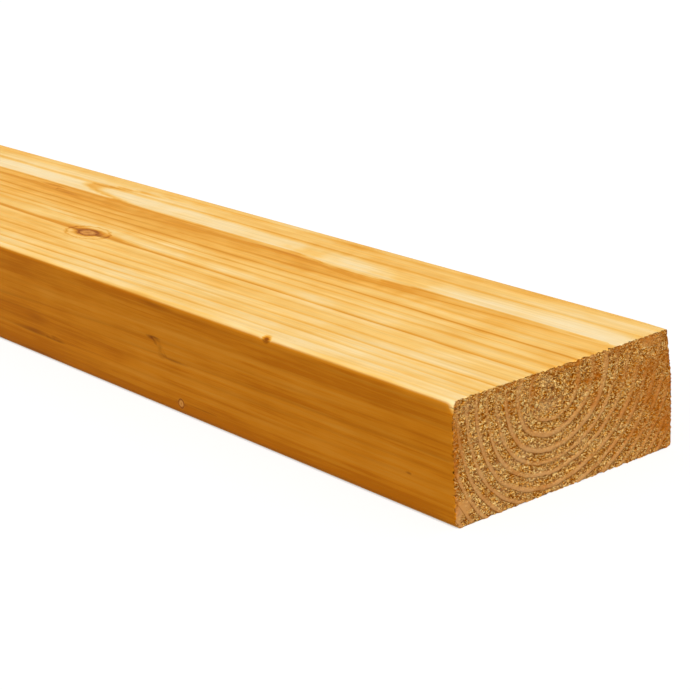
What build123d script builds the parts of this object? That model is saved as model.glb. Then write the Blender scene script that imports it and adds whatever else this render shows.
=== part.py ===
from build123d import *

import os

# A length of planed softwood framing timber, lying flat on its wide face.
# The stick is one sawn piece. A moulder planed its four faces and eased its
# four long arrises, then it was cross-cut square at both ends. One corner
# is worn where the stick has been handled.
#
# X runs along the grain, Y across the width and Z up through the thickness.
# The origin is the centre of the underside. The worn corner is at the +X end,
# on the +Y side of the upper face.

# Section of the planed stick, and the length that it is sold in.
WIDTH = 89.0
THICKNESS = 38.0
LENGTH = 2400.0
ARRIS_RADIUS = 2.0

# Worn corner: how far the wear runs back along the grain, in across the
# upper face and down the end, each measured from the unworn corner.
WEAR_ALONG_GRAIN = 25.0
WEAR_ACROSS_FACE = 2.2
WEAR_DOWN_END = 16.0

with BuildPart() as timber_plank:
    # The planed section stands on the origin's level, drawn at the far end.
    with BuildSketch(Plane.YZ.offset(-LENGTH / 2)) as section:
        Rectangle(WIDTH, THICKNESS, align=(Align.CENTER, Align.MIN))
        fillet(section.vertices(), radius=ARRIS_RADIUS)
    extrude(amount=LENGTH)

    # The wear is a shallow facet through one point on each of the three edges
    # that met at the unworn corner. Its normal points out of the stick.
    unworn_corner = Vector(LENGTH / 2, WIDTH / 2, THICKNESS)
    wear_facet = Plane(
        origin=unworn_corner - Vector(0, WEAR_ACROSS_FACE, 0),
        z_dir=Vector(1 / WEAR_ALONG_GRAIN, 1 / WEAR_ACROSS_FACE, 1 / WEAR_DOWN_END),
    )
    split(bisect_by=wear_facet, keep=Keep.BOTTOM)

timber_plank.part.label = "timber_plank"

os.makedirs("parts", exist_ok=True)
export_step(timber_plank.part, "parts/timber_plank.step")
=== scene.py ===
import math

import bpy
import numpy as np
from mathutils import Matrix, Vector


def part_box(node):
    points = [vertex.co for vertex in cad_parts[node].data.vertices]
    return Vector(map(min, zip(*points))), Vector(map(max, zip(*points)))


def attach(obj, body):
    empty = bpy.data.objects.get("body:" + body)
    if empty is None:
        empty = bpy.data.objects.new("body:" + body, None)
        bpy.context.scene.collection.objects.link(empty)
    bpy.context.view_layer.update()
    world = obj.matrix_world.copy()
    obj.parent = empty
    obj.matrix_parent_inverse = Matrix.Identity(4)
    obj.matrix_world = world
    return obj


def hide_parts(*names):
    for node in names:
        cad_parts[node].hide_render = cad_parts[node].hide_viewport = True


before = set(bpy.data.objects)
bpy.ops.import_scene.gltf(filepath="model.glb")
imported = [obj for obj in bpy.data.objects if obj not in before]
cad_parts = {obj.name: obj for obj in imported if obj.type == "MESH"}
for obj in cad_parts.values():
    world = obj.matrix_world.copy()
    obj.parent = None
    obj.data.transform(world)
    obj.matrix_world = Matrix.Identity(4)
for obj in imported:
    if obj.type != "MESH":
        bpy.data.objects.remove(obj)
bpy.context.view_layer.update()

# Timber plank
# One length of kiln-dried spruce, sawn from close to the heart of a young stem.
# It was planed on four sides, its long arrises were eased, and a coarse saw
# cross-cut it.

# Sizes are in millimetres, and "back" is the distance along the grain from the
# sawn end at +X.
lowest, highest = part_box("timber_plank")
LENGTH, WIDTH, THICKNESS = (round(1000 * (high - low), 1) for low, high in zip(lowest, highest))
ARRIS = 2.0

# The stem's growth, seen on the sawn end: where the pith is, how far each
# year's latewood lies from it towards -Y, and how dark that line is on a
# planed face.
PITH_Y, PITH_Z = -6.0, 31.8
YEAR_RADIUS = [
    0, 6.2, 9.4, 14.1, 18.5, 21.9, 25.5, 29.6, 33.1,
    36.6, 40.0, 43.2, 46.2, 49.2, 52.5, 56.0, 60.0,
]
YEAR_DARKNESS = [
    0, 0.35, 0.9, 0.15, 0.45, 0.9, 0.5, 0.8, 0.3,
    0.7, 0.4, 0.7, 0.5, 0.7, 0.4, 0.6, 0.5,
]

# The stem grew unevenly: bearing from the pith in degrees (0 is +Y, 90 is +Z),
# spread in degrees, and the share by which the rings are wider there.
UNEVEN_GROWTH = [
    (0, 60, 0.17), (35, 35, 0.20), (130, 25, -0.10),
    (165, 20, 0.04), (225, 30, 0.06), (300, 25, -0.03),
]

# Along the stick the pith sways sideways, sinks and rises past SINK_FROM and
# drifts to +Y, and the stem swells and tapers. A wave is one whole cycle.
PITH_SWAY, SWAY_WAVE = 2.4, 1150
PITH_SINK, SINK_WAVE = 5.5, 1240
SINK_FROM, SINK_OVER = 300, 700
PITH_DRIFT = 5.0
SWELLING, SWELL_WAVE = 0.07, 1300

# Grain lines of the upper face near the sawn end, from the -Y edge: y at the
# end, how far the line drifts towards -Y over the stretch DRIFT, then its
# darkness at the end and further back.
DRIFT = (90, 270)
DARKNESS_CHANGES = (30, 150)
UPPER_LINES = np.array([
    (-48.0, 2.5, 0.3, 0.3), (-43.0, 3.5, 0.3, 0.3), (-38.5, 4.0, 0.6, 0.5), (-33.5, 4.0, 0.9, 0.8),
    (-28.0, 4.0, 0.9, 0.8), (-22.5, 3.5, 0.9, 0.6), (-17.0, 3.0, 0.1, 0.1), (-13.0, 1.0, 1.5, 1.7),
    (-4.0, 0.0, 0.5, 0.4), (0.0, 1.5, 0.3, 0.6), (4.5, 0.0, 1.6, 0.7), (11.5, 3.0, 0.3, 0.5),
    (16.0, 0.0, 0.3, 1.0), (20.5, 0.0, 0.7, 0.7), (32.5, 0.0, 0.8, 0.9), (40.5, 0.0, 0.2, 0.4),
    (46.5, 0.0, 0.3, 0.3),
])
HEART_LINE, HEART_YEAR = 7.5, 3.5

# Two of these lines have places of their own, as back and y. One wanders. The
# other is the sharp border between the heart's orange and a pale band, and
# dips towards the wandering line once.
WANDERING = 12
WANDER = np.array([
    (0, 20.0), (40, 18.5), (60, 17.0), (80, 16.0), (115, 15.5), (140, 18.0), (160, 19.0),
    (200, 17.0), (220, 14.5), (250, 12.0), (280, 13.0), (300, 16.0), (320, 17.0), (350, 16.5),
])
BORDER = 13
BORDER_TRACK = np.array([(0, 20.5), (85, 20.5), (108, 18.5), (122, 17.5), (136, 18.5), (150, 20.5)])

# Grain lines of the -Y edge, from the bottom: z at the end, at 130 and at
# 250 mm back, and darkness.
EDGE_BACK = (130, 250)
EDGE_LINES = np.array([
    (-3.0, -3.0, -3.0, 0.2), (4.0, 3.5, 2.5, 0.4), (11.5, 9.5, 8.5, 0.4), (15.5, 14.0, 12.5, 0.3),
    (20.0, 18.5, 16.0, 0.6), (24.5, 23.5, 19.0, 0.6), (29.0, 28.5, 25.5, 0.3), (34.5, 34.0, 31.0, 0.4),
    (40.0, 40.0, 39.0, 0.3),
])
EDGE_YEAR = 18.0

# Knots: back, y, z, then half-sizes along the grain, across and up.
KNOTS = np.array([
    (232.5, -13.7, 38.0, 5.2, 3.0, 5.0),
    (132.8, -44.5, 4.2, 1.6, 3.0, 1.6),
    (618, 17.0, 38.0, 9.0, 6.0, 6.0),
    (641, -44.5, 21.0, 7.0, 6.0, 5.0),
    (655, 44.5, 14.0, 8.0, 6.0, 6.0),
    (672, -20.0, 0.0, 10.0, 7.0, 6.0),
    (1004, -26.0, 38.0, 5.0, 4.0, 5.0),
    (1032, 23.0, 0.0, 8.0, 6.0, 6.0),
    (1047, 44.5, 24.0, 5.0, 5.0, 4.0),
    (1405, 6.0, 38.0, 11.0, 8.0, 6.0),
    (1423, -44.5, 12.0, 6.0, 6.0, 5.0),
    (1442, -8.0, 0.0, 9.0, 7.0, 6.0),
    (1803, 31.0, 38.0, 6.0, 5.0, 5.0),
    (1829, 44.5, 19.0, 7.0, 6.0, 6.0),
    (2166, -15.0, 38.0, 8.0, 5.0, 6.0),
    (2188, -44.5, 25.0, 5.0, 5.0, 4.0),
    (2210, 12.0, 0.0, 7.0, 5.0, 6.0),
], dtype=float)

# Small dark marks along the grain, such as pin knots and resin streaks: back,
# y, z, their half-sizes, and strength. The first is the pin knot on the near
# arris.
MARKS = np.array([
    (84.5, -43.9, 37.2, 2.4, 1.5, 1.5, 2.8),
    (146.5, -44.5, 23.7, 4.2, 3.0, 0.9, 1.2),
    (225, -44.5, 9.1, 14.0, 3.0, 0.75, 0.75),
    (208, -44.5, 8.9, 5.0, 3.0, 0.7, 0.7),
    (222, -44.5, 14.6, 9.0, 3.0, 2.2, 0.3),
    (146, -44.0, 35.4, 11.0, 3.0, 1.1, 0.55),
    (120, -44.5, 4.9, 10.0, 3.0, 0.5, 0.5),
    (143, -44.5, 20.9, 1.6, 3.0, 2.2, 0.3),
    (136, -44.5, 18.3, 9.0, 3.0, 0.6, 0.55),
    (19.5, -44.5, 11.7, 1.6, 3.0, 0.5, 0.7),
    (222, -44.5, 1.6, 22.0, 3.0, 1.2, 0.45),
    (308, 18.0, 38.0, 10.0, 1.5, 3.0, 0.6),
    (292, 14.6, 38.0, 9.0, 1.0, 3.0, 0.4),
    (140, 9.4, 38.0, 18.0, 1.1, 3.0, 0.4),
    (41, 3.2, 38.0, 6.0, 1.1, 3.0, 0.35),
    (32, -13.4, 38.0, 9.0, 0.9, 3.0, 0.25),
    (6, 11.2, 38.0, 8.0, 0.9, 3.0, 0.25),
    (150, 18.2, 38.0, 20.0, 1.1, 3.0, 0.3),
    (12, 20.2, 38.0, 12.0, 0.7, 3.0, 0.4),
], dtype=float)

# Tone across the upper face: y, and how warm the wood is there. Above 0 is
# orange, below 0 is pale. The pale line at -43.4 by the -Y arris is a painted
# highlight.
TONE_AND_ARRIS_HIGHLIGHT_ACROSS = np.array([
    (-44.5, 0.2), (-43.4, -0.5), (-42.0, -0.2), (-39.5, -0.4), (-30.0, -0.2), (-23.0, -0.1),
    (-16.0, 0.05), (-9.0, -0.3), (0.0, 0.1), (8.0, 0.3), (16.0, 0.55), (20.3, 0.65),
    (20.9, -0.75), (27.0, -0.9), (31.0, -0.65), (33.0, 0.0), (44.5, 0.15),
])

# Broad patches of tone on the upper face: back, y, half-length, half-width and
# warmth. The flame is a band of orange bent round a tip.
PATCHES = np.array([
    (15, 26.0, 45, 6.0, -0.5),
    (97, 24.0, 13, 7.0, 0.9),
    (146, 25.0, 11, 7.5, 1.2),
    (142, 40.0, 9, 3.5, 0.8),
    (122, 24.5, 13, 4.5, -0.3),
    (230, 26.0, 50, 5.5, -0.35),
    (345, 27.0, 34, 8.0, -0.7),
    (265, 35.5, 45, 4.5, -0.8),
    (12, 38.5, 24, 4.0, -0.6),
    (105, 40.5, 40, 2.5, 0.3),
    (108, 16.0, 44, 3.2, 1.1),
    (135, 12.0, 28, 4.5, 0.6),
    (45, 10.0, 34, 3.0, -0.7),
    (205, 14.0, 75, 6.0, 0.75),
    (285, 13.5, 45, 5.0, 0.6),
    (300, 10.0, 110, 9.0, 0.45),
    (260, -1.0, 140, 6.0, 0.4),
    (180, -10.0, 60, 2.6, -0.5),
    (25, -18.5, 38, 3.0, -0.35),
    (190, -18.0, 60, 4.5, 0.35),
    (250, -23.0, 60, 6.0, 0.45),
    (240, -6.5, 22, 3.0, -0.3),
])
FLAME_BACK, FLAME_Y = 296.0, 28.4
FLAME_BEND, FLAME_WARMTH = 0.65, 2.2
FLAME_SOFT_SIDE, FLAME_SHARP_SIDE = 9.0, 4.0

# Patches on the sawn end: y, z, half-sizes and warmth, and the same for where
# the saw left the wood smooth.
END_PATCHES = np.array([
    (-13.8, 34.0, 1.2, 6.0, 1.0),
    (4.4, 33.0, 1.2, 6.0, 0.9),
    (1.0, 37.0, 6.0, 1.2, 0.8),
    (12.0, 33.0, 1.5, 5.0, 0.6),
    (38.0, 20.0, 16.0, 22.0, 1.1),
    (-9.0, 29.0, 6.0, 4.0, -0.5),
    (42.0, 8.0, 3.0, 6.0, 0.8),
    (-43.0, 22.0, 2.6, 9.0, 0.9),
    (11.0, 24.0, 4.0, 4.0, 0.45),
    (-24.0, 34.0, 1.2, 5.0, 0.6),
    (8.4, 30.4, 1.5, 1.0, 1.5),
    (12.6, 31.0, 1.3, 1.3, 1.5),
    (-20.0, 37.2, 22.0, 1.0, 0.5),
    (22.0, 37.2, 20.0, 1.0, 0.5),
    (-12.0, 12.0, 30.0, 8.0, -0.25),
    (-44.4, 19.0, 1.1, 20.0, 1.3),
])
SMOOTH_PATCHES = np.array([
    (-41.3, 5.8, 3.0, 2.6, 0.75),
    (-44.0, 3.0, 1.6, 3.5, 0.6),
    (34.5, 36.0, 3.5, 1.5, 0.5),
])

# The stretches, as distances back, over which the listed tones and then the
# listed lines give way to the stem's own growth.
TONES_END, LINES_END = (400, 560), (430, 640)
RIPPLE_WAVES = 14


def ripple(seed, wavelength, *axes):
    """A smooth random field, mostly between -1 and 1: the sum of cosine waves in random directions over the
    given coordinates, with wavelengths 0.7 to 1.35 times the one asked for, times sqrt(2 / waves) / 1.6. A
    coordinate given several times over has waves that many times shorter along it."""
    draw = np.random.default_rng(seed)
    total = 0.0
    for _ in range(RIPPLE_WAVES):
        way = draw.normal(size=len(axes))
        way *= 2 * np.pi / (np.linalg.norm(way) * wavelength * draw.uniform(0.7, 1.35))
        phase = sum(w * a for w, a in zip(way, axes))
        total = total + np.cos(phase + draw.uniform(0, 2 * np.pi))
    return total * np.sqrt(2 / RIPPLE_WAVES) / 1.6


def smooth_step(value, start, stop):
    """0 before start, 1 past stop, and 3 t^2 - 2 t^3 between them."""
    t = np.clip((value - start) / (stop - start), 0, 1)
    return t * t * (3 - 2 * t)


def nearest(features, back, y, z):
    """For each point the offset to its nearest feature, divided by that feature's half-sizes, and that
    feature's row. Past 3 half-sizes the offset is 8 across and, with its own sign, 8 along the grain and up,
    so that no mesh face between two features or at the cut-off passes near zero."""
    offset = (np.stack([back, y, z], -1)[..., None, :] - features[:, :3]) / features[:, 3:6]
    row = (offset ** 2).sum(-1).argmin(-1)
    chosen = np.take_along_axis(offset, row[..., None, None], axis=-2)[..., 0, :]
    past = (chosen ** 2).sum(-1) > 3 ** 2
    chosen[past] = np.where(chosen[past] < 0, -8.0, 8.0)
    chosen[past, 1] = 8.0
    return chosen, row


def drawn_to_knots(back, y, z, strength):
    """The points' y and z drawn towards nearby knots by exp(-(distance / 2.4)^2), the distance counted in the
    knot's half-sizes and stretched 1.8 times along the grain. The rings then bow out around the knots."""
    offset = (np.stack([back, y, z], -1)[..., None, :] - KNOTS[:, :3]) / (KNOTS[:, 3:] * (1.8, 1.0, 1.0))
    near = strength * np.exp(-(offset ** 2).sum(-1) / 2.4 ** 2)
    pull = near / np.maximum(near.sum(-1, keepdims=True), 1.0)
    pulled_y = y + (pull * (KNOTS[:, 1] - y[..., None])).sum(-1)
    pulled_z = z + (pull * (KNOTS[:, 2] - z[..., None])).sum(-1)
    return pulled_y, pulled_z


def growth(back, y, z):
    """The year number at each point: the distance from the wandering pith, divided by the stem's swelling and
    by its unevenness on that bearing, read off the list of year radii."""
    wave = back * 2 * np.pi
    sinking = np.clip((back - SINK_FROM) / SINK_OVER, 0, 1)
    pith_y = PITH_Y - PITH_SWAY * np.sin(wave / SWAY_WAVE) + PITH_DRIFT * (back / LENGTH) ** 2
    pith_z = PITH_Z - PITH_SINK * (1 - np.cos(wave / SINK_WAVE)) * sinking
    swelling = 1 + SWELLING * np.sin(wave / SWELL_WAVE)
    out_y, out_z = y - pith_y, z - pith_z
    bearing = np.degrees(np.arctan2(out_z, out_y))
    uneven = np.ones_like(bearing)
    for at, spread, amount in UNEVEN_GROWTH:
        turn = (bearing - at + 180) % 360 - 180
        uneven = uneven + amount * np.exp(-(turn / spread) ** 2)
    radius = np.hypot(out_y, out_z) / (uneven * swelling)
    radius = radius + 0.35 * ripple(3, 260, back, y * 6, z * 6) + 0.12 * ripple(4, 70, back, y * 9, z * 9)
    return np.interp(radius, YEAR_RADIUS, np.arange(len(YEAR_RADIUS)))


def count_lines(value, places):
    """How many grain lines lie below each value, with the share of the way to the next one: the sum over
    neighbouring lines of (value - line) / (next line - line), each held between 0 and 1."""
    return np.clip((value[..., None] - places[..., :-1]) / np.diff(places, axis=-1), 0, 1).sum(-1)


def upper_grain(back, y):
    """Year number and line darkness on the upper face. Each line lies at its place at the end less its drift
    times a smooth step along the stick. The wandering line and the border follow their own places. The year
    counts up from the heart line to both sides."""
    y = y + 0.22 * ripple(21, 60, back, y * 4) + 0.10 * ripple(22, 17, back, y * 4)
    places = UPPER_LINES[:, 0] - smooth_step(back, *DRIFT)[:, None] * UPPER_LINES[:, 1]
    places[:, WANDERING] = np.interp(back, *WANDER.T)
    places[:, BORDER] = np.interp(back, *BORDER_TRACK.T)
    line = count_lines(y, places)
    at_line = np.arange(len(UPPER_LINES))
    at_end, further = (np.interp(line, at_line, UPPER_LINES[:, column]) for column in (2, 3))
    line_darkness = at_end + (further - at_end) * smooth_step(back, *DARKNESS_CHANGES)
    return np.abs(line - HEART_LINE) + HEART_YEAR, line_darkness


def edge_grain(back, z):
    """Year number and line darkness on the -Y edge, from the lines' places along the stick. The last stretch
    is carried on to 1.6 times its length."""
    z = z + 0.18 * ripple(23, 50, back, z * 4)
    first, second, third = EDGE_LINES[:, 0], EDGE_LINES[:, 1], EDGE_LINES[:, 2]
    middle, last = EDGE_BACK
    near = np.minimum(back, middle)[:, None] / middle
    far = np.minimum(np.maximum(back - middle, 0)[:, None] / (last - middle), 1.6)
    places = first + (second - first) * near + (third - second) * far
    line = count_lines(z, places)
    return EDGE_YEAR - line, np.interp(line, np.arange(len(EDGE_LINES)), EDGE_LINES[:, 3])


def tone(back, y, z):
    """How warm or pale the wood is, and where light and shade are painted. On the upper face near the end it
    is the tone across the face, with a painted highlight along the -Y arris, shifted where the border dips,
    the listed patches, each a bell curve on both axes, and a flame: a band of orange along back = tip - bend
    (y - tip's y)^2.
    The -Y edge is painted darker towards its foot, as painted shade, and deepens further back. Long random
    streaks lie everywhere."""
    border_top = BORDER_TRACK[0, 1]
    dip = (border_top - np.interp(back, *BORDER_TRACK.T)) * smooth_step(y, 13, 17) * smooth_step(-y, -27, -21)
    face = np.interp(y + dip + 0.25 * ripple(24, 45, back, y), *TONE_AND_ARRIS_HIGHLIGHT_ACROSS.T)
    cloud_back, cloud_y = back + 3.0 * ripple(26, 10, back, y * 2), y + 0.9 * ripple(27, 12, back, y * 2)
    for at, side, half_length, half_width, amount in PATCHES:
        along, across = (cloud_back - at) / half_length, (cloud_y - side) / half_width
        face = face + amount * np.exp(-along ** 2 - across ** 2)
    flame = back - (FLAME_BACK - FLAME_BEND * (y - FLAME_Y) ** 2) + 1.5 * ripple(25, 14, back, y)
    in_zone = smooth_step(y, 19.5, 21.5) * smooth_step(-y, -39, -34)
    flame_width = np.where(flame < 0, FLAME_SOFT_SIDE, FLAME_SHARP_SIDE)
    face = face + FLAME_WARMTH * in_zone * np.exp(-(flame / flame_width) ** 2)
    seen_close = 1 - smooth_step(back, *TONES_END)
    upper = smooth_step(z, 35.5, 37.5) * seen_close
    # Painted shade: the -Y edge is painted darker towards its foot. It also deepens further back.
    edge = 0.9 * (1 - smooth_step(z, 1, 10)) + 0.35 * smooth_step(back, 140, 230)
    edge = edge * smooth_step(-y, 42.9, 44.0) * seen_close * (1 - upper)
    streaks = 0.30 * ripple(5, 330, back, y * 38, z * 38) + 0.2 * ripple(6, 150, back, y * 14, z * 14)
    return face * upper + edge + streaks * (1 - 0.5 * upper)


# Grid of the sawn end: columns across and rows up, with the corner cells
# packed into the arrises. Every fourth line (every second one in a corner)
# carries on along the stick.
COLUMNS, ROWS, CORNER_CELLS = 240, 104, 6


def end_grid():
    """The places (y, z) of the end's grid. Column and row lines are even apart from corner squares as large
    as the arris radius. A point (p, q) of a corner square, measured 0 to 1 from its inner corner, moves to
    (p sqrt(1 - q^2 / 2), q sqrt(1 - p^2 / 2)), which bends the square's outer sides into the arris."""
    column, row = np.meshgrid(np.arange(COLUMNS + 1), np.arange(ROWS + 1))
    marks = [0, CORNER_CELLS, COLUMNS - CORNER_CELLS, COLUMNS]
    y = np.interp(column, marks, [-WIDTH / 2, ARRIS - WIDTH / 2, WIDTH / 2 - ARRIS, WIDTH / 2])
    marks = [0, CORNER_CELLS, ROWS - CORNER_CELLS, ROWS]
    up = np.interp(row, marks, [-THICKNESS / 2, ARRIS - THICKNESS / 2, THICKNESS / 2 - ARRIS, THICKNESS / 2])
    p = np.maximum(np.abs(y) - (WIDTH / 2 - ARRIS), 0) / ARRIS
    q = np.maximum(np.abs(up) - (THICKNESS / 2 - ARRIS), 0) / ARRIS
    y = y + np.sign(y) * ARRIS * p * (np.sqrt(1 - q * q / 2) - 1)
    up = up + np.sign(up) * ARRIS * q * (np.sqrt(1 - p * p / 2) - 1)
    return y, up + THICKNESS / 2


def round_the_rim(rows, columns):
    """Grid indices (row, column) of the end's border, once round: bottom, +Y side, top, -Y side."""
    last_row, last_column = rows[-1], columns[-1]
    bottom = [(0, c) for c in columns[:-1]]
    far = [(r, last_column) for r in rows[:-1]]
    top = [(last_row, c) for c in columns[:0:-1]]
    near = [(r, 0) for r in rows[:0:-1]]
    return np.array(bottom + far + top + near)


def every_fourth(count):
    """Line numbers kept along the stick: every second in the corners, every fourth between them."""
    low = np.arange(0, CORNER_CELLS, 2)
    between = np.arange(CORNER_CELLS, count - CORNER_CELLS, 4)
    high = count - CORNER_CELLS + np.arange(0, CORNER_CELLS + 1, 2)
    return np.concatenate([low, between, high])


# Distances back at which a profile stands: the fine ones by the end, then the
# coarse ones, which are closer together where the stick is seen close and
# around each knot. Each pair of gaps is for seen close and for further back.
FINE_BACK = np.array([0.0, 0.35, 0.8, 1.4, 2.2, 3.2])
FIRST_COARSE, SEEN_CLOSE = 4.5, 430
PLAIN_GAPS, KNOT_GAPS = (3.5, 16.0), (1.3, 5.0)
KNOT_REACH = 10.0
WALK_SAMPLES = 24000


def stations():
    """Distances back of the coarse profiles. The gap between two of them is the plain one, and nears the
    knot's one by exp(-(distance / reach)^2) around each knot."""
    back = np.linspace(FIRST_COARSE, LENGTH, WALK_SAMPLES)
    closeness = np.exp(-((back[:, None] - KNOTS[:, 0]) / KNOT_REACH) ** 2).max(-1)
    plain, by_knot = (np.where(back < SEEN_CLOSE, *gaps) for gaps in (PLAIN_GAPS, KNOT_GAPS))
    gap = plain * (1 - closeness) + by_knot * closeness
    walked = np.concatenate([[0], np.cumsum(np.diff(back) / gap[1:])])
    steps = int(round(walked[-1]))
    return np.interp(np.linspace(0, walked[-1], steps + 1), walked, back)


end_y, end_z = end_grid()
kept_rows, kept_columns = every_fourth(ROWS), every_fourth(COLUMNS)
rim_fine = round_the_rim(np.arange(ROWS + 1), np.arange(COLUMNS + 1))
rim_coarse = round_the_rim(kept_rows, kept_columns)
coarse_back = stations()

# Vertices in order: the end's grid, the fine profile at its stations after
# the first, the coarse profile at its stations, and the far end's inner grid.
fine_count, coarse_count = len(rim_fine), len(rim_coarse)
fine_rows, coarse_rows = len(FINE_BACK) - 1, len(coarse_back)
far_y, far_z = end_y[np.ix_(kept_rows, kept_columns)], end_z[np.ix_(kept_rows, kept_columns)]
far_inner = far_y[1:-1, 1:-1].shape
back = np.concatenate([
    np.zeros(end_y.size),
    np.repeat(FINE_BACK[1:], fine_count),
    np.repeat(coarse_back, coarse_count),
    np.full(math.prod(far_inner), LENGTH),
])
y, z = (
    np.concatenate([
        grid.ravel(),
        np.tile(grid[tuple(rim_fine.T)], fine_rows),
        np.tile(grid[tuple(rim_coarse.T)], coarse_rows),
        far[1:-1, 1:-1].ravel(),
    ])
    for grid, far in ((end_y, far_y), (end_z, far_z))
)
fine_start = end_y.size
coarse_start = fine_start + fine_rows * fine_count
far_start = coarse_start + coarse_rows * coarse_count


def grid_quads(index):
    """Quads between neighbouring lines of a 2-D array of vertex numbers."""
    return np.stack([index[:-1, :-1], index[:-1, 1:], index[1:, 1:], index[1:, :-1]], -1).reshape(-1, 4)


def closed(rings):
    """The rings of vertex numbers with their first column repeated at the end."""
    return np.hstack([rings, rings[:, :1]])


end_index = np.arange(end_y.size).reshape(end_y.shape)
fine_rings = np.vstack([
    end_index[tuple(rim_fine.T)],
    np.arange(fine_start, coarse_start).reshape(-1, fine_count),
])
coarse_rings = np.arange(coarse_start, far_start).reshape(-1, coarse_count)
far_index = np.zeros(far_y.shape, int)
far_index[1:-1, 1:-1] = np.arange(far_start, len(back)).reshape(far_inner)
row_of = np.searchsorted(kept_rows, rim_coarse[:, 0])
column_of = np.searchsorted(kept_columns, rim_coarse[:, 1])
far_index[row_of, column_of] = coarse_rings[-1]

# Between the fine and the coarse profile each fine edge makes a triangle with
# the nearer coarse corner, and each coarse edge one with the fine point at its
# middle.
matches = np.array([np.flatnonzero((rim_fine == pair).all(1))[0] for pair in rim_coarse])
match_next = np.append(matches[1:], fine_count)
middle = (matches + match_next) // 2
fine_edge = np.arange(fine_count)
owner = np.searchsorted(matches, fine_edge, side="right") - 1
owner = (owner + (fine_edge >= middle[owner])) % coarse_count
last_fine, first_coarse = fine_rings[-1], coarse_rings[0]
fan = np.stack([last_fine[fine_edge], last_fine[(fine_edge + 1) % fine_count], first_coarse[owner]], -1)
next_coarse = first_coarse[np.roll(np.arange(coarse_count), -1)]
wedge = np.stack([last_fine[middle % fine_count], next_coarse, first_coarse], -1)

quads = np.vstack([
    grid_quads(end_index),
    grid_quads(closed(fine_rings))[:, ::-1],
    grid_quads(closed(coarse_rings))[:, ::-1],
    grid_quads(far_index)[:, ::-1],
])
triangles = np.vstack([fan[:, ::-1], wedge[:, ::-1]])
is_end = np.zeros(len(quads) + len(triangles), bool)
end_quads = ROWS * COLUMNS
far_quads = (len(kept_rows) - 1) * (len(kept_columns) - 1)
is_end[:end_quads] = True
is_end[len(quads) - far_quads:len(quads)] = True

# Year and line darkness: the stem's own rings, and over them the lines read
# for the upper face and the -Y edge where the stick is seen close. The rings
# are drawn to the knots fully, and the lines more gently.
FULL_PULL, GENTLE_PULL = 1.0, 0.75
on_near_end = back == 0.0
on_far_end = (back == LENGTH) & (np.arange(len(back)) >= far_start)
at_end = on_near_end | on_far_end
drawn_y, drawn_z = drawn_to_knots(back, y, z, FULL_PULL)
year = growth(back, drawn_y, drawn_z)
darkness = np.interp(year, np.arange(len(YEAR_RADIUS)), YEAR_DARKNESS)
near_end = (1 - smooth_step(back, *LINES_END)) * ~at_end
on_upper = smooth_step(z, 36.2, 37.4) * (1 - smooth_step(y, 42.6, 44.2))
on_edge = smooth_step(-y, 42.9, 44.0) * (1 - smooth_step(z, 36.4, 37.6)) * smooth_step(z, 0.3, 1.6)
gentle_y, _ = drawn_to_knots(back, y, z, GENTLE_PULL)
for weight, (lined_year, lined_darkness) in (
    (on_upper * near_end, upper_grain(back, gentle_y)),
    (on_edge * near_end, edge_grain(back, z)),
):
    year = year + weight * (lined_year - year)
    darkness = darkness + weight * (lined_darkness - darkness)
warmth = tone(back, y, z)
knot_offset, _ = nearest(KNOTS, back, y, z)
mark_offset, mark_row = nearest(MARKS, back, y, z)
mark_strength = MARKS[mark_row, 6]

# On the sawn ends, "darkness" is how well the latewood bands show, "warmth"
# holds the listed patches and "torn" is how roughly the saw cut.
end_warmth = 0.35 * ripple(7, 9, y, z)
for at_y, at_z, half_y, half_z, amount in END_PATCHES:
    end_warmth = end_warmth + amount * np.exp(-((y - at_y) / half_y) ** 2 - ((z - at_z) / half_z) ** 2)
torn = np.ones(len(back))
for at_y, at_z, half_y, half_z, amount in SMOOTH_PATCHES:
    torn = torn - amount * np.exp(-((y - at_y) / half_y) ** 4 - ((z - at_z) / half_z) ** 4)
torn = np.clip(torn, 0, 1)
bands_show = 0.95 - 0.4 * smooth_step(z, 20, 34) - 0.3 * smooth_step(y, 12, 30) + 0.25 * ripple(8, 12, y, z)
bands_show = bands_show * smooth_step(year, 1.2, 1.6)
darkness = np.where(at_end, np.clip(bands_show, 0.1, 1), darkness)
warmth = np.where(at_end, end_warmth, warmth)

# Relief of the sawn ends: the saw leaves the hard latewood standing and tears
# the soft earlywood back, and more so by the -Y edge and at the near end's rim.
SAWN_BACK, TEAR, RIM_TEAR, EDGE_TEAR = 0.05, 0.5, 0.4, 0.55
share = year % 1.0
latewood = smooth_step(share, 0.66, 0.76) * smooth_step(-share, -1.0, -0.95) * np.clip(bands_show, 0, 1)
tear = 0.5 + 0.55 * ripple(11, 1.0, y, z) + 0.3 * ripple(12, 2.3, y, z)
depth = np.where(at_end, SAWN_BACK + (1 - 0.85 * latewood) * np.clip(tear, 0, 1.3) * TEAR * torn, 0.0)
on_rim = np.zeros(len(back), bool)
on_rim[fine_rings[0]] = True
depth = depth + np.where(on_rim, RIM_TEAR * np.clip(ripple(13, 1.4, y, z), 0, 1.4), 0.0)
to_near_side = np.exp(-((y + WIDTH / 2) / 1.3) ** 2)
depth = depth + np.where(at_end, EDGE_TEAR * to_near_side * np.clip(ripple(15, 2.0, y, z), 0, 1.4), 0.0)
x = LENGTH / 2 - np.where(on_near_end, depth, back)
x = np.where(on_far_end, -LENGTH / 2 + depth, x)

# The rim's teeth: near the end the faces are nibbled in, and twice as far at
# the bottom, where the saw broke out.
NIBBLE, NIBBLE_REACH = 0.4, 0.8
nibble = np.exp(-back / NIBBLE_REACH) * NIBBLE * np.clip(ripple(14, 1.4, back * 0.6, y, z) - 0.1, 0, 1.2)
nibble = np.where(at_end & ~on_rim, 0.0, nibble) * (1 + (z < 1.0))
y_out = y - np.sign(y) * nibble * smooth_step(np.abs(y), 42.0, 44.5)
z_out = z + nibble * (smooth_step(-z, -1.0, -0.1) - smooth_step(z, 37.2, 38.0))

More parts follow.
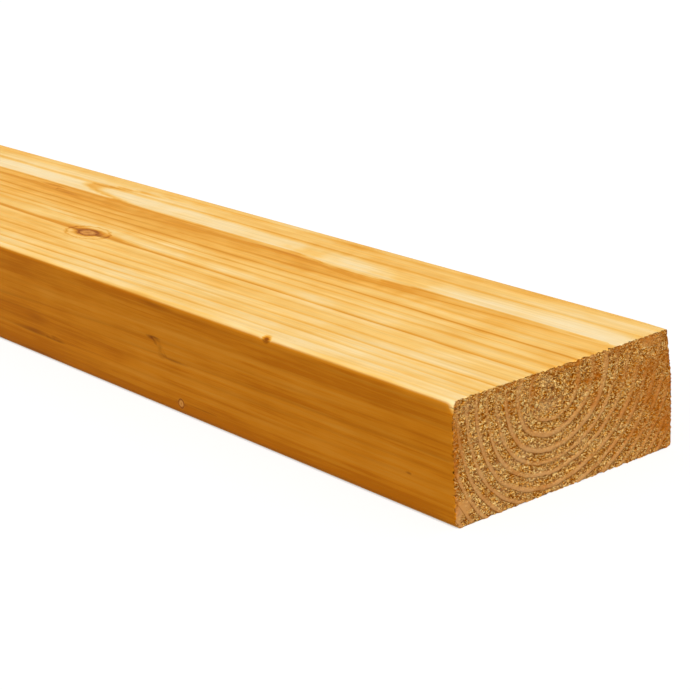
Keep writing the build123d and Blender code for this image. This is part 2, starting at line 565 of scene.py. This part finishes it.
# The worn corner: what stands past its facet is flattened, over a soft edge.
WEAR_ALONG, WEAR_ACROSS, WEAR_DOWN, WEAR_SOFT = 25.0, 2.2, 16.0, 0.3
facet = np.array([1 / WEAR_ALONG, 1 / WEAR_ACROSS, 1 / WEAR_DOWN])
facet_length = np.linalg.norm(facet)
offset_y, offset_z = y_out - WIDTH / 2, z_out - THICKNESS
past = ((x - LENGTH / 2) * facet[0] + offset_y * facet[1] + offset_z * facet[2] + 1) / facet_length
eased = np.clip(past + WEAR_SOFT, 0, 2 * WEAR_SOFT) ** 2 / (4 * WEAR_SOFT)
past = np.where(past > WEAR_SOFT, past, eased)
x, y_out, z_out = (side - past * share_of / facet_length for side, share_of in zip((x, y_out, z_out), facet))

# Small bowls are the breaks at the pin knot and at the near corner: depth,
# back, y, z and half-sizes. They go in from the -Y edge, and near the top down.
CHIPS = [(0.35, 84.5, -44.0, 37.3, 2.2, 1.6, 1.2), (0.9, 0.0, -44.0, 36.0, 1.6, 2.0, 1.6)]
CHIP_IN, CHIP_DOWN, CHIP_TOP = 0.7, 0.6, 36
chip = 0.0
for amount, at, at_y, at_z, half_length, half_y, half_z in CHIPS:
    off_squared = ((back - at) / half_length) ** 2 + ((y - at_y) / half_y) ** 2 + ((z - at_z) / half_z) ** 2
    chip = chip + amount * np.exp(-off_squared)
y_out = y_out + chip * CHIP_IN
z_out = z_out - chip * CHIP_DOWN * (z > CHIP_TOP)

plank_mesh = bpy.data.meshes.new("planed_plank")
corners = (np.stack([x, y_out, z_out], -1) / 1000).tolist()
plank_mesh.from_pydata(corners, [], quads.tolist() + triangles.tolist())
plank_mesh.polygons.foreach_set("use_smooth", np.ones(len(is_end), bool))
plank_mesh.polygons.foreach_set("material_index", is_end.astype(np.int32))
scalars = {"year": year, "darkness": darkness, "warmth": warmth, "torn": torn, "mark_strength": mark_strength}
for name, values in scalars.items():
    plank_mesh.attributes.new(name, "FLOAT", "POINT").data.foreach_set("value", values.astype(np.float32))
for name, values in {"knot_offset": knot_offset, "mark_offset": mark_offset}.items():
    offsets = plank_mesh.attributes.new(name, "FLOAT_VECTOR", "POINT")
    offsets.data.foreach_set("vector", values.astype(np.float32).ravel())

# Both ends meet the faces at a sharp edge.
edge_ends = np.empty(len(plank_mesh.edges) * 2, np.int32)
plank_mesh.edges.foreach_get("vertices", edge_ends)
sharp = np.zeros(len(plank_mesh.edges), bool)
for ring in (fine_rings[0], coarse_rings[-1]):
    position = np.full(len(back), -9)
    position[ring] = np.arange(len(ring))
    first, second = position[edge_ends].reshape(-1, 2).T
    step = (first - second) % len(ring)
    sharp |= (first >= 0) & (second >= 0) & ((step == 1) | (step == len(ring) - 1))
plank_mesh.attributes.new("sharp_edge", "BOOLEAN", "EDGE").data.foreach_set("value", sharp)
plank_mesh.validate()
planed_plank = bpy.data.objects.new("planed_plank", plank_mesh)
bpy.context.scene.collection.objects.link(planed_plank)


def paint(hex_colour):
    """An sRGB hex colour as linear red, green, blue and alpha: c / 12.92 below 0.04045, else
    ((c + 0.055) / 1.055) to the power 2.4."""
    part = np.array([int(hex_colour[i:i + 2], 16) for i in (1, 3, 5)]) / 255
    linear = np.where(part <= 0.04045, part / 12.92, ((part + 0.055) / 1.055) ** 2.4)
    return (*linear.tolist(), 1.0)


def feed(node, inputs):
    """Sets a node's inputs. Each gets a value, a hex colour, another node's output, or another node, whose
    first output in use is taken."""
    for key, value in inputs.items():
        if isinstance(value, bpy.types.Node):
            value = next(output for output in value.outputs if output.enabled)
        if isinstance(value, bpy.types.NodeSocket):
            node.id_data.links.new(value, node.inputs[key])
        else:
            node.inputs[key].default_value = paint(value) if isinstance(value, str) else value


def add(tree, kind, inputs=None, stops=None, **settings):
    """Adds a node of the given kind, with its settings, its colour-band stops (place, and a hex colour or a
    grey level) and its inputs."""
    made = tree.nodes.new("ShaderNode" + kind)
    for name, value in settings.items():
        setattr(made, name, value)
    if stops:
        band = made.color_ramp
        while len(band.elements) < len(stops):
            band.elements.new(0.5)
        for element, (place, colour) in zip(band.elements, stops):
            element.position = place
            element.color = paint(colour) if isinstance(colour, str) else (colour, colour, colour, 1)
    feed(made, inputs or {})
    return made


def new_finish(name):
    """A material with only an output and a Principled shader, its tree, and that shader."""
    finish = bpy.data.materials.new(name)
    finish.use_nodes = True
    tree = finish.node_tree
    return finish, tree, tree.nodes["Principled BSDF"]


# A Mix node's colour inputs share their names with others, so they go by
# number: the colour underneath and the one laid over it.
UNDER, OVER = 6, 7

# Planed spruce: cut clean along the grain by a moulder's knives. The eye sees
# straw-coloured earlywood, thin amber latewood lines with one sharp side, fine
# lengthwise fibres, cloudy warmer patches and a low satin sheen. Tones go from
# pale to deep, and a knot's from its middle out.
WIDE_TONES = [
    (0.05, "#FCE6B8"), (0.2, "#FBD998"), (0.33, "#F9C972"), (0.48, "#F1B24E"),
    (0.64, "#E3992F"), (0.82, "#CC7C1C"), (1.0, "#965210"),
]
# The narrow faces, their lines and their marks are painted a deeper, more saturated amber than the wide
# faces: painted shade, for the shade the narrow faces stand in.
NARROW_SHADED_TONES = [(0.4, "#E0922A"), (0.75, "#D28014"), (1.0, "#BE6C08")]
NARROW_SHADED_LINE, NARROW_SHADED_MARK = "#A85E06", "#864404"
KNOT_TONES = [
    (0.0, "#C07828"), (0.18, "#DC9A48"), (0.3, "#C47A30"),
    (0.375, "#8A4408"), (0.42, "#A45C14"), (0.52, "#D68E2C"),
]
WHISKER = "#9C5818"

# How strongly a year's line shows over the year, then the swirl's and the
# knot's strength over the distance from the knot's middle. Its edge is at 0.4.
LINE_SHAPE = [
    (0.0, 0.5), (0.09, 0.0), (0.6, 0.0), (0.76, 0.25),
    (0.87, 0.8), (0.92, 1.0), (0.97, 0.95), (1.0, 0.5),
]
SWIRL_SHAPE = [(0.4, 0.5), (0.56, 0.25), (0.7, 0.0), (0.78, 0.0), (0.88, 0.4), (0.96, 0.0)]
KNOT_SHAPE = [(0.40, 1.0), (0.46, 0.5), (0.54, 0.0)]

# Noise patterns: their size along and across the grain in millimetres, detail
# and roughness. The fibres' relief is in millimetres too.
PLANED_PATTERNS = {
    "fibre": (40.0, 0.9, 3.0, 0.6),
    "streak": (220.0, 3.2, 4.0, 0.6),
    "cloud": (32.0, 11.0, 3.0, 0.55),
    "ragged": (3.0, 1.4, 3.0, 0.6),
}
FIBRE_RELIEF = 0.12

planed, tree, surface = new_finish("planed_spruce")
place = add(tree, "TexCoord").outputs["Object"]
pattern = {}
for name, (along, across, detail, roughness) in PLANED_PATTERNS.items():
    scaled = add(tree, "Mapping", {"Vector": place, "Scale": (1000 / along, 1000 / across, 1000 / across)})
    settings = {"Vector": scaled, "Scale": 1.0, "Detail": detail, "Roughness": roughness}
    pattern[name] = add(tree, "TexNoise", settings)
fibre, streak, cloud = pattern["fibre"], pattern["streak"], pattern["cloud"]
year_at, darkness_at, warmth_at, mark_strength_at = (
    add(tree, "Attribute", attribute_name=name).outputs["Fac"]
    for name in ("year", "darkness", "warmth", "mark_strength")
)
knot_at, mark_at = (
    add(tree, "Attribute", attribute_name=name).outputs["Vector"] for name in ("knot_offset", "mark_offset")
)

# The narrow faces' painted shade, a deeper amber than the wide faces', starts over the last half
# millimetre of the arris. These distances from the middle are in metres, as shaders count.
NARROW_FROM, NARROW_TO = 0.04400, 0.04435
across = add(tree, "SeparateXYZ", {0: place})
from_centre = add(tree, "Math", {0: across.outputs["Y"]}, operation="ABSOLUTE")
narrow = add(tree, "MapRange", {"Value": from_centre, "From Min": NARROW_FROM, "From Max": NARROW_TO})

waver = add(tree, "Math", {0: fibre, 1: 0.10, 2: -0.05}, operation="MULTIPLY_ADD")
year_here = add(tree, "Math", {0: year_at, 1: waver}, operation="ADD")
share_here = add(tree, "Math", {0: year_here}, operation="FRACT")
line = add(tree, "ValToRGB", {"Fac": share_here}, stops=LINE_SHAPE)
line_level = add(tree, "MapRange", {
    "Value": streak, "From Min": 0.35, "From Max": 0.65, "To Min": 0.65, "To Max": 1.15,
})
line_drawn = add(tree, "Math", {0: line, 1: line_level}, operation="MULTIPLY")
line_here = add(tree, "Math", {0: line_drawn, 1: darkness_at}, operation="MULTIPLY")

streaky = add(tree, "Math", {0: streak, 1: 0.45, 2: 0.275}, operation="MULTIPLY_ADD")
cloudy = add(tree, "Math", {0: cloud, 1: 0.6, 2: -0.3}, operation="MULTIPLY_ADD")
warm_sum = add(tree, "Math", {0: streaky, 1: cloudy}, operation="ADD")
warm_here = add(tree, "Math", {0: warmth_at, 1: 0.26, 2: warm_sum}, operation="MULTIPLY_ADD")

# Marks: long soft ellipses of darker resin with frayed ends.
mark_length = add(tree, "VectorMath", {0: mark_at}, operation="LENGTH")
frayed = add(tree, "Math", {0: fibre, 1: 1.2, 2: mark_length}, operation="MULTIPLY_ADD")
mark_shape = add(tree, "MapRange", {
    "Value": frayed, "From Min": 0.65, "From Max": 1.7, "To Min": 1.0, "To Max": 0.0,
})
mark_cover = add(tree, "Math", {0: mark_shape, 1: mark_strength_at}, operation="MULTIPLY")

# How far a point lies from its knot's middle, with a ragged edge at 0.4.
knot_length = add(tree, "VectorMath", {0: knot_at}, operation="LENGTH")
ragged = add(tree, "Math", {0: pattern["ragged"], 1: 0.9, 2: -0.45}, operation="MULTIPLY_ADD")
knot_here = add(tree, "Math", {0: knot_length, 1: ragged}, operation="ADD")
knot_scaled = add(tree, "Math", {0: knot_here, 1: 0.4}, operation="MULTIPLY")

# On the wide faces lines, marks and the swirl around a knot only deepen the
# wood's own tone.
with_line = add(tree, "Math", {0: line_here, 1: 0.46, 2: warm_here}, operation="MULTIPLY_ADD", use_clamp=True)
with_mark = add(tree, "Math", {0: mark_cover, 1: 0.5, 2: with_line}, operation="MULTIPLY_ADD")
swirl = add(tree, "ValToRGB", {"Fac": knot_scaled}, stops=SWIRL_SHAPE)
with_swirl = add(tree, "Math", {0: swirl, 1: with_mark}, operation="ADD")
wide_depth = add(tree, "MapRange", {"Value": with_swirl, "From Min": 0.0, "From Max": 1.5})
wide_tone = add(tree, "ValToRGB", {"Fac": wide_depth}, stops=WIDE_TONES)

# On the narrow faces the tone is painted shade, a deeper and more saturated amber than the wide
# faces'. Fine fibres carry more of it, and lines and marks, also in deeper painted-shade colours,
# are laid over it.
edge_fine = add(tree, "Math", {0: fibre, 1: 1.1, 2: -0.4}, operation="MULTIPLY_ADD")
edge_lined = add(tree, "Math", {0: streak, 1: 0.2, 2: edge_fine}, operation="MULTIPLY_ADD")
edge_warm = add(tree, "Math", {0: edge_lined, 1: warm_here}, operation="ADD")
narrow_shaded_tone = add(tree, "ValToRGB", {"Fac": edge_warm}, stops=NARROW_SHADED_TONES)
line_cover = add(tree, "Math", {0: line_here, 1: 0.6}, operation="MULTIPLY")
lined = add(tree, "Mix", {"Factor": line_cover, UNDER: narrow_shaded_tone, OVER: NARROW_SHADED_LINE}, data_type="RGBA")
narrow_marked = add(tree, "Mix", {"Factor": mark_cover, UNDER: lined, OVER: NARROW_SHADED_MARK}, data_type="RGBA")
marked = add(tree, "Mix", {"Factor": narrow, UNDER: wide_tone, OVER: narrow_marked}, data_type="RGBA")

# Knots: an orange-brown heart in a dark ring, with whiskers along the grain.
knot_tone = add(tree, "ValToRGB", {"Fac": knot_scaled}, stops=KNOT_TONES)
knot_cover = add(tree, "ValToRGB", {"Fac": knot_scaled}, stops=KNOT_SHAPE)
knotted = add(tree, "Mix", {"Factor": knot_cover, UNDER: marked, OVER: knot_tone}, data_type="RGBA")
pointed = add(tree, "VectorMath", {0: knot_at, 1: (0.38, 2.2, 2.2)}, operation="MULTIPLY")
pointed_length = add(tree, "VectorMath", {0: pointed}, operation="LENGTH")
whisker_edge = add(tree, "Math", {0: fibre, 1: pointed_length}, operation="ADD")
whisker = add(tree, "MapRange", {
    "Value": whisker_edge, "From Min": 0.7, "From Max": 1.6, "To Min": 0.8, "To Max": 0.0,
})
whiskered = add(tree, "Mix", {"Factor": whisker, UNDER: knotted, OVER: WHISKER}, data_type="RGBA")
past_heart = add(tree, "MapRange", {"Value": knot_here, "From Min": 0.9, "From Max": 1.1})
grained = add(tree, "Mix", {"Factor": past_heart, UNDER: knotted, OVER: whiskered}, data_type="RGBA")

fibre_shade = add(tree, "MapRange", {
    "Value": fibre, "From Min": 0.3, "From Max": 0.7, "To Min": 0.93, "To Max": 1.07,
})
shaded = add(tree, "VectorMath", {0: grained, 1: fibre_shade}, operation="MULTIPLY")
grain_bump = add(tree, "Bump", {"Height": fibre, "Strength": 0.3, "Distance": FIBRE_RELIEF / 1000})
feed(surface, {"Base Color": shaded, "Roughness": 0.55, "Specular IOR Level": 0.03, "Normal": grain_bump})

# Sawn spruce end grain: cut across by a coarse blade. Latewood is left as
# smooth tan bands, and the earlywood between is torn into pits and fuzz whose
# relief catches the light. Its gold and brown speckle is also painted into the
# colour: painted shade in the pits and painted highlights on the fuzz.
TORN_SHADE_AND_HIGHLIGHT_TONES = [
    (0.38, "#804000"), (0.435, "#B26808"), (0.495, "#E29A30"), (0.545, "#FAB856"), (0.61, "#FFDE92"),
]
BAND_TAN, BAND_EDGE = "#CA9258", "#8E5218"
END_WARM, END_PALE, PITH_BROWN = "#B8640E", "#DCB078", "#7A4216"

# Where over a year the latewood band and its dark edge lie, and how far out
# the pith reaches, counted in years.
BAND_SHAPE = [(0.0, 0.0), (0.58, 0.0), (0.72, 0.75), (0.94, 0.85), (0.985, 0.0)]
BAND_EDGE_SHAPE = [(0.0, 0.75), (0.05, 0.0), (0.93, 0.0), (0.975, 0.75), (1.0, 0.75)]
PITH_SHAPE = [(0.10, 0.85), (0.17, 0.0)]

# The pits' and the torn strands' sizes in millimetres along X, Y and Z, with
# the strands turned about X in radians, the pits' relief in millimetres, and
# the settings of each noise.
PIT_SIZE, STRAND_SIZE, STRAND_TURN = (2.0, 0.85, 0.65), (2.0, 1.5, 0.85), 0.5
PIT_RELIEF = 0.6
PIT_NOISE = {"Scale": 1.0, "Detail": 2.0, "Roughness": 0.6, "Distortion": 1.2}
STRAND_NOISE = {"Scale": 1.0, "Detail": 1.0, "Roughness": 0.5, "Distortion": 1.8}

sawn, tree, surface = new_finish("sawn_spruce_end_grain")
place = add(tree, "TexCoord").outputs["Object"]
pits, strands = (
    add(tree, "TexNoise", {
        "Vector": add(tree, "Mapping", {
            "Vector": place,
            "Scale": tuple(1000 / side for side in size),
            "Rotation": (turn, 0.0, 0.0),
        }),
        **noise,
    })
    for size, turn, noise in ((PIT_SIZE, 0.0, PIT_NOISE), (STRAND_SIZE, STRAND_TURN, STRAND_NOISE))
)
year_at, bands_at, warmth_at, torn_at = (
    add(tree, "Attribute", attribute_name=name).outputs["Fac"]
    for name in ("year", "darkness", "warmth", "torn")
)

# A strand runs where its noise crosses the middle value, and is painted lighter: a painted highlight on the
# fuzz.
from_middle = add(tree, "Math", {0: strands, 1: 0.5}, operation="SUBTRACT")
from_middle = add(tree, "Math", {0: from_middle}, operation="ABSOLUTE")
strand_highlight = add(tree, "MapRange", {
    "Value": from_middle, "From Min": 0.0, "From Max": 0.055, "To Min": 0.30, "To Max": -0.10,
})

waver = add(tree, "Math", {0: pits, 1: 0.12, 2: -0.06}, operation="MULTIPLY_ADD")
year_here = add(tree, "Math", {0: year_at, 1: waver}, operation="ADD")
share_here = add(tree, "Math", {0: year_here}, operation="FRACT")
band = add(tree, "ValToRGB", {"Fac": share_here}, stops=BAND_SHAPE)
band_here = add(tree, "Math", {0: band, 1: bands_at}, operation="MULTIPLY")

# The speckle, painted pit shade and fuzz highlights, fades on the bands and where the saw left the wood
# smooth.
speckle = add(tree, "Math", {0: pits, 1: strand_highlight}, operation="ADD")
rough_here = add(tree, "Math", {0: band_here, 1: -0.75, 2: 1.0}, operation="MULTIPLY_ADD")
rough_torn = add(tree, "Math", {0: rough_here, 1: torn_at}, operation="MULTIPLY")
centred = add(tree, "Math", {0: speckle, 1: -0.5}, operation="ADD")
toned = add(tree, "Math", {0: centred, 1: rough_torn, 2: 0.5}, operation="MULTIPLY_ADD")
soft = add(tree, "ValToRGB", {"Fac": toned}, stops=TORN_SHADE_AND_HIGHLIGHT_TONES)
untorn = add(tree, "Math", {0: 1.0, 1: torn_at}, operation="SUBTRACT")
tan_here = add(tree, "Math", {0: band_here, 1: untorn}, operation="MAXIMUM")
ringed = add(tree, "Mix", {"Factor": tan_here, UNDER: soft, OVER: BAND_TAN}, data_type="RGBA")
edge_of_band = add(tree, "ValToRGB", {"Fac": share_here}, stops=BAND_EDGE_SHAPE)
edge_here = add(tree, "Math", {0: edge_of_band, 1: bands_at}, operation="MULTIPLY")
edged = add(tree, "Mix", {"Factor": edge_here, UNDER: ringed, OVER: BAND_EDGE}, data_type="RGBA")

warm_cover = add(tree, "MapRange", {
    "Value": warmth_at, "From Min": 0.0, "From Max": 1.6, "To Min": 0.0, "To Max": 0.8,
})
warmed = add(tree, "Mix", {"Factor": warm_cover, UNDER: edged, OVER: END_WARM}, data_type="RGBA")
pale_cover = add(tree, "MapRange", {
    "Value": warmth_at, "From Min": 0.0, "From Max": -1.2, "To Min": 0.0, "To Max": 0.45,
})
paled = add(tree, "Mix", {"Factor": pale_cover, UNDER: warmed, OVER: END_PALE}, data_type="RGBA")
pith = add(tree, "ValToRGB", {"Fac": year_at}, stops=PITH_SHAPE)
with_pith = add(tree, "Mix", {"Factor": pith, UNDER: paled, OVER: PITH_BROWN}, data_type="RGBA")
pit_bump = add(tree, "Bump", {"Height": toned, "Strength": 0.6, "Distance": PIT_RELIEF / 1000})
feed(surface, {"Base Color": with_pith, "Roughness": 0.8, "Specular IOR Level": 0.02, "Normal": pit_bump})

planed_plank.data.materials.append(planed)
planed_plank.data.materials.append(sawn)
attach(planed_plank, "root")
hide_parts("timber_plank")

# Studio
# A white studio floor under soft light, seen from the sawn end's near corner.
# Distances are in metres.

FLOOR_HALF = 6.0
floor_mesh = bpy.data.meshes.new("studio_floor")
floor_corners = np.array([(-1, -1), (1, -1), (1, 1), (-1, 1)]) * FLOOR_HALF
floor_mesh.from_pydata([(*pair, 0.0) for pair in floor_corners.tolist()], [], [(0, 1, 2, 3)])
studio_floor = bpy.data.objects.new("studio_floor", floor_mesh)
bpy.context.scene.collection.objects.link(studio_floor)


def seen_directly(tree):
    """A node that gives 1 where the camera, a reflection or glass looks, and 0 for the light on the plank."""
    path = add(tree, "LightPath").outputs
    seen = add(tree, "Math", {0: path["Is Camera Ray"], 1: path["Is Glossy Ray"]}, operation="MAXIMUM")
    return add(tree, "Math", {0: seen, 1: path["Is Transmission Ray"]}, operation="MAXIMUM")


# Matt white paper: it takes the plank's shadow, and is lifted to full white
# where it is seen directly.
PAPER_GREY, PAPER_LIFT = "#B4B4B4", 0.58
WHITE = (1, 1, 1, 1)
paper = bpy.data.materials.new("white_paper")
paper.use_nodes = True
tree = paper.node_tree
tree.nodes.remove(tree.nodes["Principled BSDF"])
matt = add(tree, "BsdfDiffuse", {"Color": PAPER_GREY})
lift = add(tree, "Math", {0: seen_directly(tree), 1: PAPER_LIFT}, operation="MULTIPLY")
glow = add(tree, "Emission", {"Color": WHITE, "Strength": lift})
feed(tree.nodes["Material Output"], {"Surface": add(tree, "AddShader", {0: matt, 1: glow})})
floor_mesh.materials.append(paper)

# The air: a soft white fill light, and full white where it is seen directly.
AIR_LIGHT = 0.35
world = bpy.data.worlds.new("studio_air")
world.use_nodes = True
bpy.context.scene.world = world
tree = world.node_tree
air_level = add(tree, "MapRange", {"Value": seen_directly(tree), "To Min": AIR_LIGHT, "To Max": 1.0})
feed(tree.nodes["Background"], {"Color": WHITE, "Strength": air_level})

# One broad soft light, high on the camera's side. At this strength and with
# the air's share a level white surface comes out just white.
KEY_FROM, KEY_STRENGTH, KEY_SPREAD = Vector((0.6, -0.36, 0.72)), 2.8, math.radians(32)
key = bpy.data.lights.new("key_softbox", "SUN")
key.energy = KEY_STRENGTH
key.angle = KEY_SPREAD
key_softbox = bpy.data.objects.new("key_softbox", key)
key_softbox.rotation_euler = KEY_FROM.to_track_quat("Z", "Y").to_euler()
bpy.context.scene.collection.objects.link(key_softbox)

# The camera stands off the near corner, looks along the stick and leans a
# little. Its lens and sensor are in millimetres.
EYE = Vector((1.57845, -0.38425, 0.22345))
AIM = Vector((1.09871, 0.0, 0.0206))
LEAN = math.radians(-2.734)
LENS, SENSOR = 103.42, 36.0
camera = bpy.data.objects.new("camera", bpy.data.cameras.new("camera"))
camera.data.lens = LENS
camera.data.sensor_width = SENSOR
camera.data.clip_start = 0.01
turn = (AIM - EYE).to_track_quat("-Z", "Y").to_matrix() @ Matrix.Rotation(LEAN, 3, "Z")
camera.matrix_world = Matrix.Translation(EYE) @ turn.to_4x4()
bpy.context.scene.collection.objects.link(camera)
bpy.context.scene.camera = camera
bpy.context.scene.view_settings.view_transform = "Standard"
